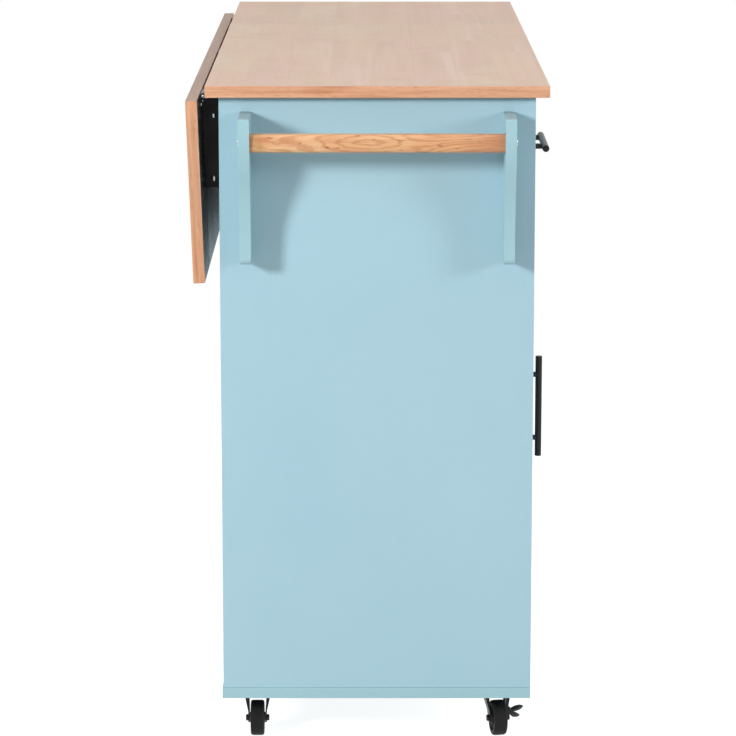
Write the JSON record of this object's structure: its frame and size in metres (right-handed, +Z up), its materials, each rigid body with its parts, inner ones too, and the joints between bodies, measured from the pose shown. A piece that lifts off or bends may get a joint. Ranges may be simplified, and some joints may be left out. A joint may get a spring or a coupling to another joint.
{
  "type": "drop leaf kitchen island",
  "caption": "Rolling kitchen island: wooden top with a hanging drop leaf on folding braces, painted body with drawers, doors, an open bay and a towel bar, on swivel casters.",
  "frame": {"origin": "centre of the outline, on the floor", "axes": "+X along the top away from the towel bar, -Y out of the drawer front, +Y towards the drop leaf, +Z up"},
  "size_m": [1.347, 0.5064, 0.93],
  "materials": {
    "painted_board": "light blue satin paint",
    "oiled_wood": "clear satin lacquer",
    "drawer_wood": "bare",
    "black_metal": "black satin coat",
    "steel": "zinc plated",
    "black_plastic": "matt",
    "white_plastic": "matt"
  },
  "bodies": {
    "cabinet": {"tabletop": "oiled_wood", "left_side_panel": "painted_board", "right_side_panel": "painted_board", "base_board": "painted_board", "back_panel": "painted_board", "front_rail": "painted_board", "rear_rail": "painted_board", "divider_shelf": "painted_board", "drawer_partition": "painted_board", "bay_partitions": "painted_board", "bay_shelves": "painted_board", "shelf_pins": "steel", "towel_brackets": "painted_board", "towel_bar": "oiled_wood", "towel_rack_screws": "steel", "leaf_hinge_top_plates": "steel", "leaf_hinge_pins": "steel", "brace_fixed_legs": "black_metal", "brace_fixed_rivets": "steel", "cabinet_runners": "steel", "door_pivot_plates": "steel", "door_catches": "white_plastic", "caster_plates": "black_metal", "cabinet_screws": "steel"},
    "drop_leaf": {"drop_leaf": "oiled_wood", "leaf_hinge_leaf_plates": "steel", "brace_leaf_legs": "black_metal", "brace_leaf_rivets": "steel", "leaf_screws": "steel"},
    "left_lower_link": {"left_lower_link": "black_metal"},
    "right_lower_link": {"right_lower_link": "black_metal"},
    "left_upper_link": {"left_upper_link": "black_metal"},
    "right_upper_link": {"right_upper_link": "black_metal"},
    "left_drawer": {"left_drawer_front": "painted_board", "left_drawer_box": "drawer_wood", "left_drawer_bottom": "drawer_wood", "left_drawer_pull": "black_metal", "left_drawer_runners": "steel"},
    "left_door": {"left_door": "painted_board", "left_door_pull": "black_metal", "left_door_fittings": "steel"},
    "right_drawer": {"right_drawer_front": "painted_board", "right_drawer_box": "drawer_wood", "right_drawer_bottom": "drawer_wood", "right_drawer_pull": "black_metal", "right_drawer_runners": "steel"},
    "right_door": {"right_door": "painted_board", "right_door_pull": "black_metal", "right_door_fittings": "steel"},
    "front_left_fork": {"front_left_fork": "black_metal"},
    "front_left_wheel": {"front_left_wheel": "black_plastic"},
    "front_right_fork": {"front_right_fork": "black_metal"},
    "front_right_wheel": {"front_right_wheel": "black_plastic"},
    "rear_left_fork": {"rear_left_fork": "black_metal"},
    "rear_left_wheel": {"rear_left_wheel": "black_plastic"},
    "rear_right_fork": {"rear_right_fork": "black_metal"},
    "rear_right_wheel": {"rear_right_wheel": "black_plastic"},
    "left_brake_pedal": {"left_brake_pedal": "black_plastic"},
    "right_brake_pedal": {"right_brake_pedal": "black_plastic"}
  },
  "joints": [
    {"name": "leaf_fold", "type": "hinge", "parent": "cabinet", "child": "drop_leaf", "pos_m": [0.0335, 0.23182, 0.9087], "axis": [1, 0, 0], "range_deg": [0, 92]},
    {"name": "left_lower_link_turn", "type": "hinge", "parent": "cabinet", "child": "left_lower_link", "pos_m": [-0.4765, 0.22082, 0.7866], "axis": [1, 0, 0], "range_deg": [-50.5, 0]},
    {"name": "left_upper_link_turn", "type": "hinge", "parent": "drop_leaf", "child": "left_upper_link", "pos_m": [-0.4765, 0.22078, 0.78451], "axis": [1, 0, 0], "range_deg": [0, 38.5]},
    {"name": "right_lower_link_turn", "type": "hinge", "parent": "cabinet", "child": "right_lower_link", "pos_m": [0.5435, 0.22082, 0.7866], "axis": [1, 0, 0], "range_deg": [-50.5, 0]},
    {"name": "right_upper_link_turn", "type": "hinge", "parent": "drop_leaf", "child": "right_upper_link", "pos_m": [0.5435, 0.22078, 0.78451], "axis": [1, 0, 0], "range_deg": [0, 38.5]},
    {"name": "left_drawer_slide", "type": "slide", "parent": "cabinet", "child": "left_drawer", "axis": [0, -1, 0], "range_m": [0, 0.25]},
    {"name": "right_drawer_slide", "type": "slide", "parent": "cabinet", "child": "right_drawer", "axis": [0, -1, 0], "range_m": [0, 0.25]},
    {"name": "left_door_swing", "type": "hinge", "parent": "cabinet", "child": "left_door", "pos_m": [-0.561, -0.21518, 0.395], "axis": [0, 0, -1], "range_deg": [0, 105]},
    {"name": "right_door_swing", "type": "hinge", "parent": "cabinet", "child": "right_door", "pos_m": [0.628, -0.21518, 0.395], "axis": [0, 0, 1], "range_deg": [0, 105]},
    {"name": "front_left_swivel", "type": "hinge", "parent": "cabinet", "child": "front_left_fork", "pos_m": [-0.5285, -0.17518, 0.062], "axis": [0, 0, 1], "continuous": true},
    {"name": "front_left_roll", "type": "hinge", "parent": "front_left_fork", "child": "front_left_wheel", "pos_m": [-0.54426, -0.17796, 0.025], "axis": [-0.1736, 0.9848, 0], "continuous": true},
    {"name": "front_right_swivel", "type": "hinge", "parent": "cabinet", "child": "front_right_fork", "pos_m": [0.5955, -0.17518, 0.062], "axis": [0, 0, 1], "continuous": true},
    {"name": "front_right_roll", "type": "hinge", "parent": "front_right_fork", "child": "front_right_wheel", "pos_m": [0.57959, -0.17685, 0.025], "axis": [-0.1045, 0.9945, 0], "continuous": true},
    {"name": "rear_left_swivel", "type": "hinge", "parent": "cabinet", "child": "rear_left_fork", "pos_m": [-0.5285, 0.16282, 0.062], "axis": [0, 0, 1], "continuous": true},
    {"name": "rear_left_roll", "type": "hinge", "parent": "rear_left_fork", "child": "rear_left_wheel", "pos_m": [-0.5445, 0.16282, 0.025], "axis": [0, 1, 0], "continuous": true},
    {"name": "rear_right_swivel", "type": "hinge", "parent": "cabinet", "child": "rear_right_fork", "pos_m": [0.5955, 0.16282, 0.062], "axis": [0, 0, 1], "continuous": true},
    {"name": "rear_right_roll", "type": "hinge", "parent": "rear_right_fork", "child": "rear_right_wheel", "pos_m": [0.57962, 0.16477, 0.025], "axis": [0.1219, 0.9925, 0], "continuous": true},
    {"name": "left_pedal_rock", "type": "hinge", "parent": "front_left_fork", "child": "left_brake_pedal", "pos_m": [-0.53726, -0.19459, 0.033], "axis": [0.9848, 0.1736, 0], "range_deg": [0, 12]},
    {"name": "right_pedal_rock", "type": "hinge", "parent": "front_right_fork", "child": "right_brake_pedal", "pos_m": [0.5854, -0.19394, 0.033], "axis": [0.9945, 0.1045, 0], "range_deg": [0, 12]}
  ],
  "couplings": [
    {"joint": "left_lower_link_turn", "follows": "leaf_fold", "ratio": -0.5389},
    {"joint": "left_upper_link_turn", "follows": "leaf_fold", "ratio": 0.4179},
    {"joint": "right_lower_link_turn", "follows": "leaf_fold", "ratio": -0.5389},
    {"joint": "right_upper_link_turn", "follows": "leaf_fold", "ratio": 0.4179}
  ]
}
